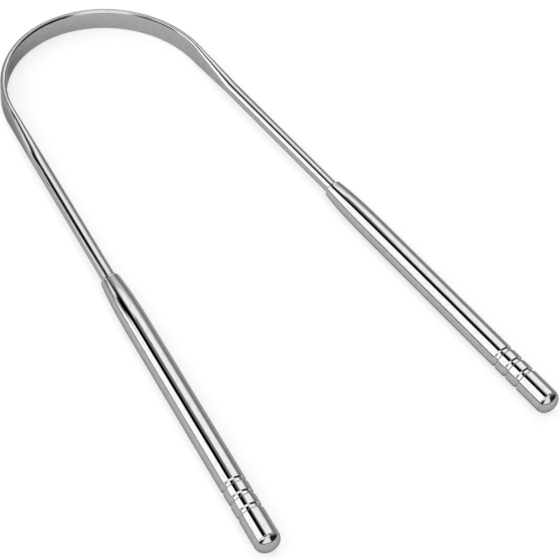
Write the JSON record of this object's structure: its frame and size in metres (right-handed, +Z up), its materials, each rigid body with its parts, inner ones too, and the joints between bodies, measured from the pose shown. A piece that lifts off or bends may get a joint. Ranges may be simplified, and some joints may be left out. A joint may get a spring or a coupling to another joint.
{
  "type": "tongue scraper",
  "caption": "Arched wire tongue scraper: a bent wire pressed into a scraping band, with a domed tube handle swaged onto each leg.",
  "frame": {"origin": "centre of the footprint, on the surface that the scraper lies flat on", "axes": "+Y along the centre line towards the arch, +X towards the right leg, +Z up, square to the plane of the arch"},
  "size_m": [0.0742, 0.1488, 0.0055],
  "materials": {
    "bow_steel": "mirror-polished stainless wire, with faint rolling streaks on the pressed band",
    "handle_steel": "mirror-polished stainless tube, bright in the rolled grooves",
    "plug_steel": "polished stainless dome, a little softer than the tube"
  },
  "bodies": {
    "root": {"scraper_bow": "bow_steel", "left_handle_tube": "handle_steel", "right_handle_tube": "handle_steel", "left_end_plug": "plug_steel", "right_end_plug": "plug_steel"}
  },
  "joints": []
}
